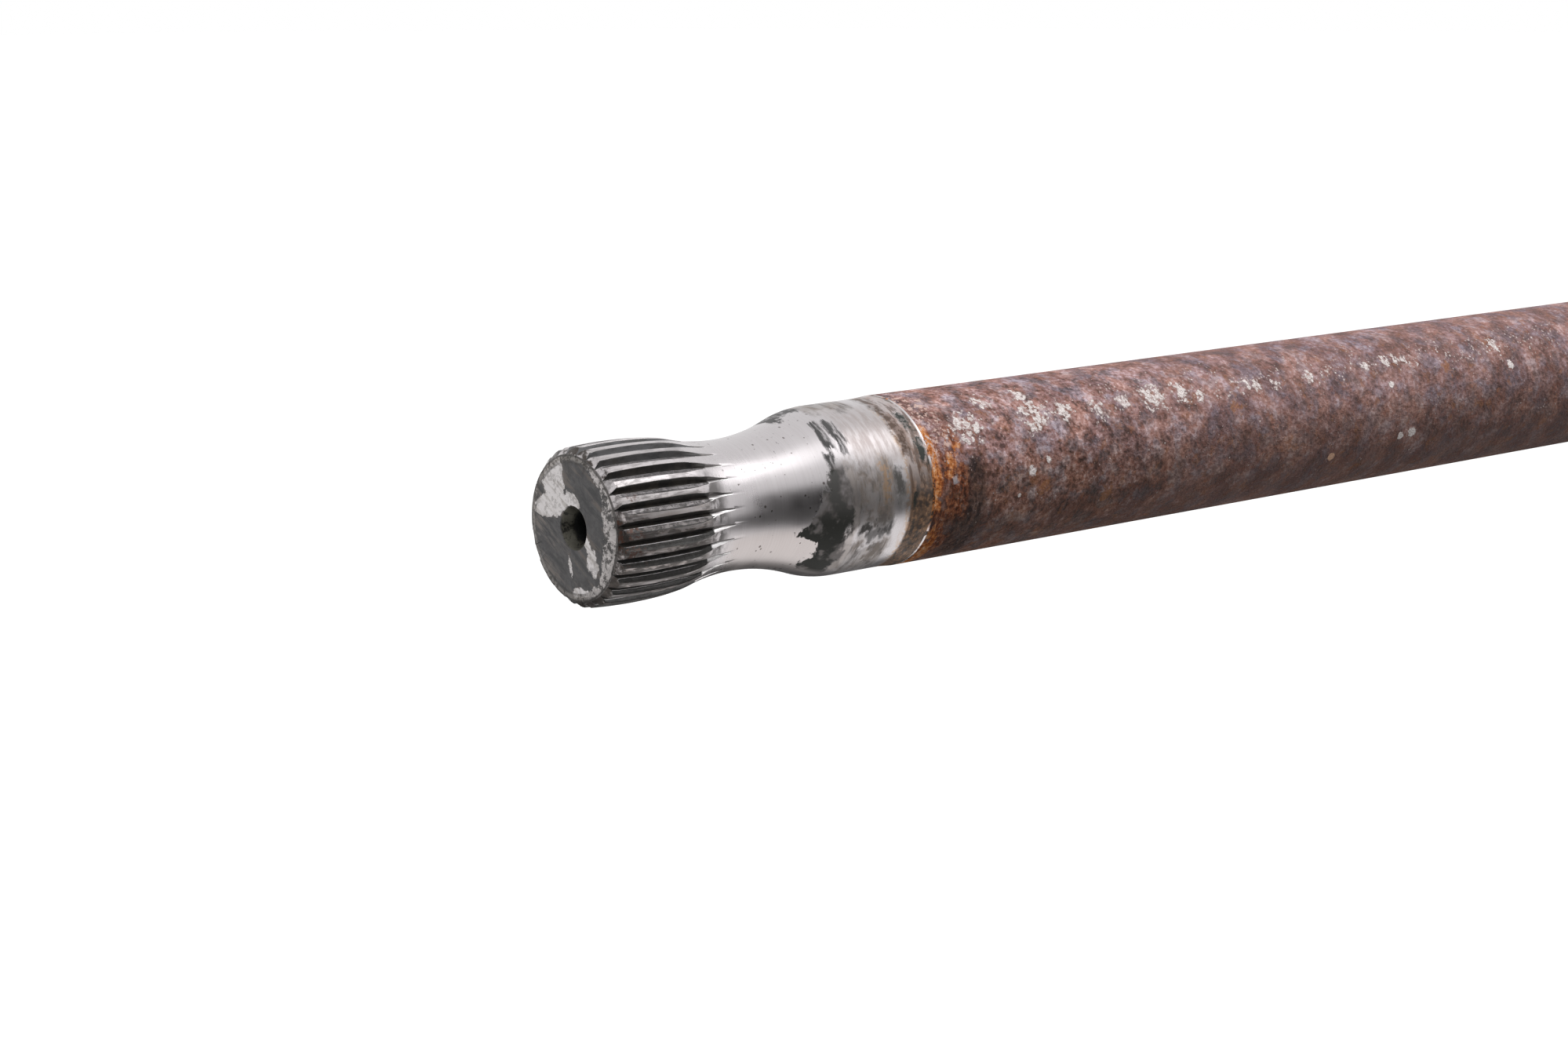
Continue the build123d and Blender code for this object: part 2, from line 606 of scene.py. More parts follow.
def make_stain_patch():
    """Mask of a ragged patch between two distances and two turns."""
    titles = ["From Face", "Turn", "Drift", "Start", "End", "First Turn", "Last Turn", "Edge"]
    tree, entry, leave = new_group("stain_patch", dict.fromkeys(titles, NUMBER), {"Mask": NUMBER})
    from_face, turn, drift, start, end, first_turn, last_turn, edge = (
        entry[title] for title in titles
    )
    drift -= 0.5
    from_face += drift * stain_drift
    turn += drift * stain_drift_turn
    turn_edge = edge * stain_edge_turn
    mask = fade(from_face, start - edge, start + edge) * fade(from_face, end + edge, end - edge)
    mask *= fade(turn, first_turn - turn_edge, first_turn + turn_edge)
    mask *= fade(turn, last_turn + turn_edge, last_turn - turn_edge)
    feed_all(leave, [mask])
    return tree


def make_machined_grain():
    """Fine lines that a tool or grinding wheel leaves round the shaft."""
    outputs = dict.fromkeys(["Lines", "Haze", "Specks"], NUMBER)
    tree, entry, leave = new_group("machined_grain", {"Place": VECTOR}, outputs)
    place = entry["Place"]
    lines = clouds(place, 0.16, 3, 0.7, (1, 0.012, 0.012))
    haze = clouds(place, 5.0, 4, 0.6, (1, 0.45, 0.45))
    near = cells(vector_math("MULTIPLY", place, (1, 0.6, 1)), 1.0)
    size = clouds(place, 2.0, 3, 0.6, offset=31)
    outer = fade(size, 0.46, 0.62, 0.02, 0.24)
    inner = fade(size, 0.46, 0.62, 0.0, 0.16)
    feed_all(leave, (lines, haze, fade(near, outer, inner)))
    return tree


def make_rust_grain():
    """Mottled rust: its colour, and how light and high its crust is."""
    outputs = {"Color": COLOUR, "Height": NUMBER, "Mottle": NUMBER}
    tree, entry, leave = new_group("rust_grain", {"Place": VECTOR}, outputs)
    place = entry["Place"]
    blotch = clouds(place, 2.7, 5, 0.58, offset=17)
    fine = clouds(place, 0.7, 3, 0.6, offset=53)
    hue = clouds(place, 3.2, 4, 0.58, offset=88)
    mottle = blotch * 0.52 + fine * 0.48
    brown = ramp(
        mottle,
        (0.38, (0.0784, 0.0426, 0.0336)),
        (0.45, (0.19, 0.101, 0.0784)),
        (0.5, (0.314, 0.174, 0.143)),
        (0.56, (0.426, 0.263, 0.23)),
        (0.64, (0.672, 0.504, 0.482)),
    )
    grey = ramp(
        mottle,
        (0.39, (0.0896, 0.0717, 0.0717)),
        (0.5, (0.263, 0.202, 0.207)),
        (0.61, (0.515, 0.437, 0.448)),
    )
    colour = blend(fade(hue, 0.47, 0.58, 0.1, 0.85), brown, grey)
    feed_all(leave, (colour, mottle, mottle))
    return tree


def make_pitting():
    """Small pits and broken metal."""
    outputs = {"Pits": NUMBER, "Height": NUMBER}
    tree, entry, leave = new_group("pitting", {"Place": VECTOR}, outputs)
    wide = clouds(entry["Place"], 1.1, 4, 0.65, offset=5)
    small = clouds(entry["Place"], 0.35, 3, 0.7, offset=71)
    mixed = wide * 0.6 + small * 0.4
    feed_all(leave, (fade(mixed, 0.5, 0.44), mixed))
    return tree


shaft_place = make_shaft_place()
stain_patch = make_stain_patch()
machined_grain = make_machined_grain()
rust_grain = make_rust_grain()
pitting = make_pitting()


class Finish:
    """A material of the shaft, with the place of each point on it and its clouds."""

    def __init__(self, name):
        self.material, self.tree, self.surface = new_material(name)
        at = use_group(self.tree, shaft_place)
        self.from_face = at["From Face"]
        self.turn = at["Turn"]
        self.tooth = at["Tooth"]
        self.place = at["Place"]
        self.end_place = at["End Place"]
        self.drift = clouds(self.place, 2.2, 6, 0.68, (1, 0.6, 0.6), offset=9)
        self.streaks = clouds(self.place, 0.9, 5, 0.65, (1, 0.22, 0.22), offset=23)
        self.fine = clouds(self.place, 0.7, 2.5, 0.6, offset=47)
        self.crumble = clouds(self.place, 1.1, 4, 0.65, offset=61)
        self.soft = clouds(self.place, 2.8, 3, 0.55, offset=77)
        self.scratches = clouds(self.place, 0.35, 3, 0.6, (0.06, 1, 1), offset=33)
        self.tooth_stains = clouds(self.place, 1.3, 5, 0.65, (0.35, 1, 1), offset=19)

    def patch(self, start, end, first_turn, last_turn, edge=0.3, streaky=False):
        """Ragged mask between two distances from the face and two turns."""
        drift = self.streaks if streaky else self.drift
        sides = (start, end, first_turn, last_turn, edge)
        return use_group(self.tree, stain_patch, self.from_face, self.turn, drift, *sides)["Mask"]

    def patches(self, places, edge=0.3, streaky=False):
        """One mask of several patches, each (start, end, first turn, last turn)."""
        return either(*[self.patch(*place, edge, streaky) for place in places])

    def spots(self, places, wobble):
        """How far inside one of several round spots a point is, from 0 up to 1.

        Each spot is (from face, turn, radius on the bar).
        """
        uneven = (self.crumble - 0.5) * (wobble * 2)
        depths = []
        for from_face, turn, radius in places:
            along = (self.from_face - from_face) / radius
            around = (self.turn - turn) / (radius / math.radians(bar_radius))
            reach = length(along, around) + uneven
            depths.append(calc("SUBTRACT", 1.0, reach, clamp=True))
        return either(*depths)

    def broken(self, mask, low=0.4, high=0.6):
        """A mask broken up by the drift, which leaves gaps where that is low."""
        return mask * fade(self.drift, low, high)

    def set(self, colour, metallic, roughness, normal):
        """Feeds the surface of the material, and returns the material."""
        titles = ("Base Color", "Metallic", "Roughness", "Normal")
        values = (colour, metallic, roughness, normal)
        feed_all([self.surface[title] for title in titles], values)
        return self.material


# Finishes

clean_steel = (0.53, 0.5, 0.51)
bright_steel = (0.6, 0.57, 0.58)
black_stain = (0.038, 0.039, 0.034)
tan_stain = (0.42, 0.27, 0.16)
tooth_rust = (0.1, 0.045, 0.03)
orange_rust = (0.52, 0.19, 0.06)
dark_rust = (0.06, 0.035, 0.022)


def machined_steel(finish, grain):
    """Bright steel with fine lines and dark specks, nicks on its upper side, and painted shade on
    the neck's underside.
    """
    colour = blend(grain["Haze"], clean_steel, bright_steel)
    colour = blend(fade(grain["Lines"], 0.35, 0.65, 0.0, 0.16), colour, (0.36, 0.33, 0.33))
    on_neck = fade(finish.from_face, 18, 22) * fade(finish.from_face, 41, 38)
    colour = blend(grain["Specks"] * on_neck * 0.85, colour, (0.12, 0.1, 0.095))
    # Painted reflection: the neck's underside is made darker and warmer, standing in for the warm
    # floor that it reflects.
    below = on_neck * fade(finish.turn, 98, 112) * fade(finish.turn, 178, 150)
    colour = blend(below, colour, (0.92, 0.885, 0.855), "MULTIPLY")
    nicks = fade(clouds(finish.place, 0.42, 3, 0.6, (1, 0.6, 0.6), offset=112), 0.65, 0.7)
    nicks = nicks * fade(finish.turn, 74, 48) * fade(finish.crumble, 0.46, 0.56)
    return blend(nicks * on_neck * 0.8, colour, (0.16, 0.15, 0.155))


def dirty_teeth(finish, colour):
    """Colour with the films, knocks and rust on the tops of the teeth, and its cover."""
    on_teeth = fade(finish.from_face, 17.5, 14.0)
    brown_film = on_teeth * fade(finish.turn, 45, 88, 0.12, 0.85)
    brown_film *= fade(finish.scratches, 0.36, 0.6, 0.4, 1.0)
    least = fade(finish.turn, 82, 108, 0.47, 0.37)
    patchy = fade(finish.tooth_stains, least, least + 0.1)
    dark_film = on_teeth * fade(finish.turn, 20, 100, 0.3, 0.85) * patchy
    dark_film *= fade(finish.scratches, 0.36, 0.5, 0.5, 1.0)
    battered = finish.broken(fade(finish.from_face, 1.9, 1.0), 0.44, 0.52)
    rust = finish.broken(finish.patch(-1, 3.8, 60, 108, 0.8), 0.44, 0.54)
    rust *= fade(finish.fine, 0.47, 0.54, 0.0, 0.8)
    smudge = finish.patch(15.6, 19.0, 56, 120, 1.2) * fade(finish.drift, 0.42, 0.56, 0.0, 0.85)

    colour = blend(brown_film * 0.75, colour, (0.25, 0.2, 0.17))
    colour = blend(dark_film, colour, (0.09, 0.082, 0.078))
    colour = blend(battered, colour, (0.07, 0.06, 0.055))
    colour = blend(rust, colour, tooth_rust)
    colour = blend(smudge, colour, (0.1, 0.092, 0.088))
    return colour, either(rust, smudge * 0.6, brown_film * 0.4, dark_film * 0.6)


def washed_track(finish, colour):
    """Colour with the washes and strokes on the flare and seal track, and its cover."""
    wash_places = [(39.4, 47.8, 62, 102), (39.4, 48.0, 118, 150), (39.6, 47.4, -60, 15)]
    wash = finish.patches(wash_places, 0.7) * fade(finish.streaks, 0.35, 0.6, 0.95, 0.5)
    core = finish.patches([(40.9, 47.4, 66, 104), (43.6, 47.0, 118, 142)], 0.6)
    wash = either(wash, core * fade(finish.soft, 0.38, 0.55, 0.4, 0.95))
    wash_tone = blend(fade(finish.drift, 0.42, 0.58), (0.135, 0.118, 0.108), (0.23, 0.19, 0.165))
    thin_film = finish.patch(41.5, 50.0, 18, 64, 1.5) * fade(finish.streaks, 0.38, 0.6, 0.6, 0.22)
    dark_wash = finish.patches([(41.2, 47.4, 103, 114), (47.6, 49.8, 74, 90)], 0.5)
    dark_wash *= fade(finish.drift, 0.42, 0.54, 0.6, 0.92)
    tans = finish.patches([(45.2, 46.8, 62, 90), (49.7, 50.5, 20, 150)], 0.5, streaky=True)
    tans *= fade(finish.fine, 0.4, 0.56)
    thin_strokes = [(37.8, 38.9, 20, 51), (39.4, 40.6, 24, 53), (40.8, 41.2, 26, 46)]
    wide_strokes = [(36.8, 38.0, 46, 64), (34.6, 40.0, -60, 0)]
    strokes = finish.patches(thin_strokes, 0.25, streaky=True)
    strokes = either(strokes, finish.patches(wide_strokes))
    strokes *= fade(finish.streaks, 0.4, 0.52, 0.4, 0.92)

    colour = blend(thin_film, colour, (0.3, 0.24, 0.22))
    colour = blend(wash, colour, wash_tone)
    colour = blend(dark_wash, colour, (0.065, 0.061, 0.055))
    colour = blend(tans * 0.7, colour, tan_stain)
    colour = blend(strokes, colour, (0.035, 0.035, 0.034))
    return colour, either(strokes, wash * 0.6, thin_film * 0.5, dark_wash)


def stained_shoulder(finish, colour):
    """Colour with the black stain on the shoulder, and the stain's cover.

    The stain's front edge leans and has a tongue. A light ring lies behind it.
    """
    turn = finish.turn
    front = fade(turn, 60, 84, 36.6, 35.1)
    front -= fade(turn, 84, 100, 0.0, 0.9)
    front -= fade(turn, 98, 110, 0.0, 2.2)
    front += fade(turn, 112, 119, 0.0, 3.4)
    front -= fade(turn, 128, 142, 0.0, 1.6)
    distance = finish.from_face + (finish.drift - 0.5) * 7.0
    inside = fade(distance, front, front + 0.35) * fade(distance, 40.4, 39.0)
    inside = inside * fade(turn, 55, 64) * fade(turn, 160, 146)
    worn_through = fade(finish.soft, 0.48, 0.6, 1.0, 0.68)
    stain = inside * worn_through * fade(turn, 104, 84, 0.99, 0.88)

    least = fade(turn, 94, 107, 0.4, 0.52)
    smoky = fade(finish.soft, least, least + 0.12)
    colour = blend(stain, colour, blend(smoky, black_stain, (0.115, 0.102, 0.097)))
    light_ring = finish.patch(39.7, 40.5, 66, 150, 0.25) * 0.7
    return blend(light_ring, colour, (0.4, 0.36, 0.345)), stain


def banded_track(finish, colour):
    """Colour with the brown rings on the rear half of the seal track, and its cover."""
    band = fade(finish.from_face, 50.0, 50.7) * fade(finish.from_face, 54.9, 54.5)
    high_tone = blend(fade(finish.turn, 20, 80), (0.38, 0.29, 0.265), (0.27, 0.175, 0.13))
    low_tone = ramp(
        finish.fine * 0.5 + finish.streaks * 0.5,
        (0.42, (0.035, 0.019, 0.01)),
        (0.49, (0.135, 0.072, 0.036)),
        (0.57, (0.4, 0.22, 0.115)),
    )
    wash = blend(fade(finish.turn, 62, 96), high_tone, low_tone)
    amount = fade(finish.drift, 0.4, 0.56, 0.96, fade(finish.turn, 60, 96, 0.4, 0.92))
    rings = band * fade(finish.streaks, 0.5, 0.58)
    green_places = [(52.5, 54.0, 31, 45), (52.8, 54.3, 50, 66), (51.0, 52.0, 88, 100)]
    green = finish.patches(green_places, 0.25) * fade(finish.soft, 0.66, 0.52)
    green *= fade(finish.fine, 0.42, 0.5, 0.6, 1.0)
    margin = finish.patch(49.8, 51.6, -20, 62, 0.5) * fade(finish.crumble, 0.4, 0.54, 0.4, 0.95)

    colour = blend(band * amount, colour, wash)
    colour = blend(rings * 0.7, colour, (0.09, 0.06, 0.045))
    colour = blend(green, colour, (0.042, 0.046, 0.042))
    colour = blend(margin, colour, (0.09, 0.058, 0.044))
    return colour, band * fade(finish.drift, 0.4, 0.56, 0.95, 0.55)


def turned_steel():
    """The tops of the teeth, the neck, the seal track and its step."""
    finish = Finish("turned_steel")
    grain = use_group(finish.tree, machined_grain, finish.place)
    colour = machined_steel(finish, grain)
    colour, teeth_cover = dirty_teeth(finish, colour)
    colour, track_cover = washed_track(finish, colour)
    colour, shoulder_cover = stained_shoulder(finish, colour)
    colour, band_cover = banded_track(finish, colour)
    at_step = fade(finish.from_face, 54.35, 54.5)
    shining = either(fade(finish.turn, 76, 66), fade(finish.turn, 108, 118))
    shining *= fade(finish.drift, 0.58, 0.5)
    step_tone = blend(fade(finish.fine, 0.45, 0.55), dark_rust, orange_rust)
    colour = blend(at_step, colour, blend(shining, step_tone, bright_steel))

    covered = either(teeth_cover, track_cover, shoulder_cover, band_cover * 0.9)
    covered = either(covered * fade(at_step, 1, 0), at_step * (1.0 - shining))
    metallic = fade(covered, 0, 1, 1.0, 0.0)
    roughness = fade(grain["Haze"], 0.3, 0.7, 0.25, 0.34) + covered * 0.25
    height = grain["Lines"] * 0.4 + finish.drift * 0.4
    height += fade(finish.from_face, 18, 15) * finish.scratches * 2.0
    feed(finish.surface["Specular IOR Level"], 0.2)
    return finish.set(colour, metallic, roughness, bump(height, 0.012))


def worn_tooth_steel():
    """The worn bevels along the teeth, with painted shade and a painted dark reflection on their
    lower side, a painted shade line in their crease, and a bare edge that also paints a glint.
    """
    finish = Finish("worn_tooth_steel")
    pits = use_group(finish.tree, pitting, finish.place)
    # Painted shade: the bevels' light and dark tones are darker on the lower side of the shaft.
    painted_shade_low_side = fade(finish.turn, 50, 95)
    light = blend(painted_shade_low_side, (0.34, 0.32, 0.325), (0.22, 0.2, 0.195))
    dark = blend(painted_shade_low_side, (0.16, 0.15, 0.155), (0.075, 0.068, 0.066))
    tone = finish.scratches * 0.5 + finish.fine * 0.5
    # Painted dark reflection: below turn 92 to 112 the bevels turn near black and lose their
    # metal, broken up by the stain clouds.
    painted_dark_reflection = fade(finish.turn + finish.tooth_stains * 30, 92, 112, 0.0, 0.92)
    # A bright bare steel line along each bevel's top edge, which also paints the edge's glint.
    bare_edge_and_glint = fade(finish.tooth, 0.18, 0.155) * fade(finish.from_face, 15, 13)
    bare_edge_and_glint *= fade(finish.drift, 0.33, 0.43, 0.3, 1.0)
    # Painted shade: a dark line in the crease between the bevel and the tooth's top.
    dark_line = fade(finish.tooth, 0.385, 0.41) * fade(finish.from_face, 16, 13)
    rusty = finish.broken(finish.patch(-1, 4.8, 60, 112, 0.8))
    rusty *= fade(finish.fine, 0.46, 0.54, 0.0, 0.85)
    grimy_end = fade(finish.from_face, 0.9, 0.45) * fade(finish.turn, 30, 60, 0.3, 1.0)
    grimy_end = finish.broken(grimy_end, 0.4, 0.5)

    colour = blend(fade(tone, 0.44, 0.56), dark, light)
    colour = blend(pits["Pits"] * 0.8, colour, (0.05, 0.045, 0.043))
    colour = blend(painted_dark_reflection, colour, (0.022, 0.02, 0.018))
    colour = blend(bare_edge_and_glint, colour, bright_steel)
    colour = blend(dark_line * 0.8, colour, (0.03, 0.028, 0.027))
    colour = blend(rusty, colour, tooth_rust)
    colour = blend(grimy_end, colour, (0.03, 0.027, 0.024))
    metallic = fade(pits["Pits"], 0, 1, 0.75, 0.2) * fade(painted_dark_reflection, 0, 1, 1, 0)
    metallic = either(metallic, bare_edge_and_glint * 0.95)
    roughness = fade(pits["Pits"], 0, 1, 0.4, 0.6)
    height = pits["Height"] + finish.scratches * 0.5
    return finish.set(colour, metallic, roughness, bump(height, 0.12))


def tooth_space_grease():
    """Grease in the tooth spaces, and bare steel where they run out, painted lit on one half of
    each space and painted shaded on the other.
    """
    finish = Finish("tooth_space_grease")
    distance = finish.from_face + (finish.drift - 0.5) * 2.0
    grease_end = fade(finish.turn, 15, 75, 18.4, 16.0)
    greasy = fade(distance, grease_end + 0.3, grease_end)
    grease = blend(fade(finish.drift, 0.4, 0.6), (0.01, 0.009, 0.008), (0.034, 0.029, 0.024))
    worn_clean = fade(finish.turn, 48, 8) * fade(finish.tooth_stains, 0.4, 0.58, 0.35, 1.0)
    grease = blend(worn_clean, grease, (0.1, 0.098, 0.102))
    # Painted light and shade: past the grease, one half of each space is painted bright and the
    # other dark.
    shaded = blend(finish.scratches, (0.06, 0.056, 0.055), (0.2, 0.185, 0.18))
    lit = blend(fade(finish.scratches, 0.4, 0.5), (0.6, 0.57, 0.57), (0.92, 0.9, 0.9))
    colour = blend(greasy, blend(fade(finish.tooth, 0.4, 0.6), lit, shaded), grease)
    metallic = fade(greasy, 0, 1, 0.9, 0.0)
    roughness = fade(greasy, 0, 1, 0.35, 0.46)
    return finish.set(colour, metallic, roughness, bump(finish.drift, 0.06))


# Bare islands on the end face, each (across, up, half width, half height, lean)
bare_islands = [
    (-4.6, 6.2, 2.4, 3.4, 0),
    (-4.8, 2.6, 4.4, 1.6, 14),
    (-0.3, 3.9, 1.7, 0.8, -30),
    (3.4, -1.9, 0.7, 1.3, 15),
    (4.4, -4.2, 1.3, 1.7, 10),
    (-0.9, -5.3, 0.35, 1.2, 10),
    (1.4, -8.9, 2.2, 0.7, 10),
]
faint_island = (-6.6, -0.8, 3.4, 1.4, -35)
scuff_lean = 28


def island(across, up, wander, place):
    """Ragged oval patch of the end face."""
    centre_across, centre_up, wide, high, lean = place
    cosine = math.cos(math.radians(lean))
    sine = math.sin(math.radians(lean))
    side = across - centre_across
    rise = up - centre_up
    first = side * (cosine / wide) + rise * (sine / wide)
    second = rise * (cosine / high) - side * (sine / high)
    reach = length(first, second) + wander * (1.2 / (wide + high))
    return fade(reach, 1.3, 0.9)


def end_face_steel():
    """Stained end face with bare islands, a crusty lower rim and a chipped edge."""
    finish = Finish("end_face_steel")
    pits = use_group(finish.tree, pitting, finish.place)
    _, across, up = split(finish.end_place)
    radius = length(across, up)
    shreds = clouds(finish.place, 1.7, 7, 0.72, offset=3)
    leaned = new_node("ShaderNodeMapping", finish.end_place)
    leaned.inputs["Rotation"].default_value = (math.radians(scuff_lean), 0, 0)
    scuffs = clouds(Value(leaned.outputs[0]), 1.1, 5, 0.65, (1, 0.16, 1), offset=41)
    wander = (shreds * 0.72 + scuffs * 0.28 - 0.5) * 8.5

    islands = [island(across, up, wander, place) for place in bare_islands]
    nearness = either(*islands, island(across, up, wander, faint_island) * 0.5)
    silver = fade(nearness, 0.55, 0.8)
    halo = fade(nearness, 0.05, 0.5) * fade(scuffs, 0.42, 0.56)
    crust_start = fade(finish.turn, 30, 80, 9.0, 6.9) + fade(finish.turn, 100, 150, 0.0, 2.0)
    crust = fade(radius + wander * 0.4, crust_start, crust_start + 0.2)
    crust = crust * fade(finish.turn, 16, 30) * fade(finish.turn, 168, 150)
    crust *= fade(shreds, 0.38, 0.45, 0.15, 1.0)
    rim = fade(radius + wander * 0.14, 9.2, 9.6)
    rim_line = fade(radius, 8.9, 9.1) * fade(radius, 9.5, 9.3) * fade(shreds, 0.42, 0.52)
    chipped = fade(radius + wander * 0.1, 9.85, 10.0)
    brushed = fade(across, 2, -9, 0.0, 0.7) * fade(scuffs, 0.46, 0.58)

    base = blend(fade(shreds, 0.38, 0.62), (0.075, 0.072, 0.074), (0.12, 0.116, 0.118))
    base = blend(fade(scuffs, 0.52, 0.64, 0, 0.6), base, (0.22, 0.18, 0.155))
    base = blend(either(halo * 0.8, brushed), base, (0.27, 0.235, 0.215))
    base = blend(fade(scuffs, 0.45, 0.36) * 0.8, base, (0.05, 0.05, 0.052))
    silver_tone = blend(fade(scuffs, 0.38, 0.52), (0.46, 0.43, 0.415), (0.66, 0.63, 0.63))
    silver_tone = blend(fade(pits["Pits"], 0.3, 1, 0, 0.4), silver_tone, (0.16, 0.145, 0.135))
    rim_tone = blend(pits["Pits"], (0.36, 0.33, 0.31), (0.09, 0.08, 0.07))
    crust_tone = blend(pits["Pits"] * 0.9, (0.62, 0.58, 0.57), (0.09, 0.085, 0.08))

    colour = blend(silver, base, silver_tone)
    colour = blend(rim_line * 0.7, colour, (0.05, 0.045, 0.04))
    colour = blend(rim * 0.9, colour, rim_tone)
    colour = blend(crust, colour, crust_tone)
    colour = blend(chipped * 0.85, colour, (0.07, 0.064, 0.06))
    metallic = fade(either(silver, crust * 0.6), 0, 1, 0.35, 0.8)
    roughness = fade(silver, 0, 1, 0.45, 0.38)
    height = pits["Height"] * crust + silver * 0.2 + scuffs * 0.12
    return finish.set(colour, metallic, roughness, bump(height, 0.2))


def centre_hole_steel():
    finish = Finish("centre_hole_steel")
    pits = use_group(finish.tree, pitting, finish.place)
    # Past the mouth the hole is near black and not metallic: grease, and painted shade deep in
    # the hole.
    mouth = fade(finish.from_face, 1.9, 1.4)
    rough_metal = blend(pits["Pits"], (0.095, 0.09, 0.072), (0.02, 0.019, 0.015))
    colour = blend(mouth, (0.01, 0.01, 0.01), rough_metal)
    metallic = fade(mouth, 0, 1, 0.0, 0.6)
    return finish.set(colour, metallic, 0.5, bump(pits["Height"], 0.08))


# Spots on the bar, each (from face, turn, radius)
salt_clusters = [
    (69.5, 29.3, 2.2), (77.1, 28.9, 2.0), (63.4, 48.9, 3.6), (77.5, 47.8, 3.6),
    (83.6, 46.9, 2.6), (90.7, 50.2, 2.2), (96.8, 45.8, 1.6), (103.3, 46.1, 3.4),
    (109.4, 46.1, 2.6), (113.1, 51.5, 1.5), (124.6, 46.4, 1.6), (126.5, 48.6, 1.8),
    (130.9, 51.1, 1.4), (139.1, 48.6, 1.5), (153.7, 45.6, 1.6), (158.9, 44.6, 1.7),
    (161.6, 45.2, 1.5), (163.8, 45.8, 1.4), (188.1, 43.2, 1.8),
]
salt_dots = [
    (65.3, 52.1, 0.7), (77.7, 79.3, 0.75), (74.4, 85.5, 0.95), (159.7, 104.8, 0.9),
    (162.6, 103.2, 1.1), (158.0, 64.6, 0.8), (189.7, 63.3, 1.0), (71.9, 101.0, 0.45),
]
orange_by_step = [(58.6, 70.5, 1.5), (57.9, 80.0, 1.3), (60.2, 61.0, 1.2)]
orange_flecks = [
    (120.2, 63.3, 1.5), (90.8, 112.0, 1.8), (76.6, 97.5, 1.6), (59.4, 96.0, 1.4),
    (173.0, 58.0, 1.6),
]
bluish_spot = (58.8, 83.4, 1.0)
pale_chip = (143.0, 113.2, 0.9)


def salt_on_bar(finish):
    """Mask, height and colour of the salt in clusters and dots, and of its faint bloom. Its
    flecks along the lit upper band are partly painted glints, and its pinkish tone between the
    grains is partly painted shade.
    """
    crumbs = 0.58 - cells(finish.place, 0.62) * 0.5 + finish.fine * 0.46
    grit = clouds(finish.place, 0.3, 2, 0.6, offset=131)
    cluster = fade(finish.spots(salt_clusters, 1.5), 0.0, 0.7)
    # White flecks along the lit upper band: partly salt, partly painted glints.
    salt_and_glint_flecks = fade(finish.turn, 5, 42) * fade(finish.turn, 72, 52)
    salt_and_glint_flecks *= fade(finish.soft, 0.42, 0.62, 0.05, 0.42)
    low_stray = fade(finish.drift, 0.5, 0.66, 0.0, 0.26)
    edge = 0.72 - either(cluster, salt_and_glint_flecks, low_stray) * 0.42
    crust = fade(crumbs, edge, edge + 0.24)
    packed = fade(crumbs, edge + 0.04, edge + 0.26)
    # Salt is white where it is thick and pinkish where it is thin. The pinkish tone between the
    # grains also paints the shade there.
    thick_salt_and_lit_grains = packed * fade(grit, 0.38, 0.5, 0.35, 1.0)
    solid = fade(finish.spots(salt_dots, 1.0), 0.1, 0.35)
    tone = blend(either(thick_salt_and_lit_grains, solid), (0.52, 0.39, 0.37), (1.0, 0.92, 0.9))
    bloom = cluster * fade(finish.fine, 0.42, 0.6, 0.0, 0.75)
    salt = either(crust, solid)
    return salt, salt * fade(grit, 0.3, 0.7), tone, bloom


def rust_by_step(finish, colour):
    """Colour with the orange and dark rust in rings beside the seal track's step."""
    speckle = finish.streaks * 0.45 + finish.fine * 0.55
    deep_places = [(54.6, 61.0, 92, 124), (54.6, 55.8, -179, 10), (58.0, 65.0, 72, 150)]
    deep = finish.patches(deep_places, 0.9) * fade(finish.drift, 0.38, 0.52, 0.35, 0.9)
    deep_tone = ramp(
        speckle,
        (0.42, (0.02, 0.013, 0.012)),
        (0.54, (0.085, 0.05, 0.04)),
        (0.64, (0.2, 0.12, 0.09)),
    )
    red = finish.patches([(54.8, 61.5, 50, 112), (54.8, 59.5, 112, 150)], 0.9)
    red *= fade(finish.drift, 0.46, 0.54, 0.1, 0.85)
    red_tone = ramp(
        speckle,
        (0.42, (0.07, 0.025, 0.014)),
        (0.5, (0.24, 0.075, 0.035)),
        (0.6, (0.48, 0.2, 0.1)),
    )
    orange = finish.patches([(54.6, 56.0, 44, 102), (54.6, 57.0, 118, 165)], 0.35, streaky=True)
    orange = either(orange, fade(finish.spots(orange_by_step, 1.5), 0.1, 0.6, 0.0, 0.8))
    orange *= fade(finish.drift, 0.38, 0.46)
    orange_tone = ramp(
        speckle,
        (0.4, (0.3, 0.08, 0.025)),
        (0.47, (0.58, 0.2, 0.06)),
        (0.53, (0.76, 0.33, 0.13)),
        (0.61, (0.86, 0.56, 0.38)),
    )
    pale = finish.patch(54.6, 59.5, 0, 66, 0.6) * fade(finish.fine, 0.52, 0.6)
    bluish = fade(finish.spots([bluish_spot], 1.4), 0.0, 0.9, 0.0, 0.7)

    colour = blend(deep, colour, deep_tone)
    colour = blend(red, colour, red_tone)
    colour = blend(orange, colour, orange_tone)
    colour = blend(pale * 0.85, colour, (0.7, 0.5, 0.44))
    return blend(bluish, colour, (0.55, 0.55, 0.6))


def tinted(finish, colour, size, offset, low, high):
    """The colour multiplied by a tint that changes over wide clouds."""
    cloud = clouds(finish.place, size, 3, 0.5, offset=offset)
    return blend(1.0, colour, blend(fade(cloud, 0.4, 0.6), low, high), "MULTIPLY")


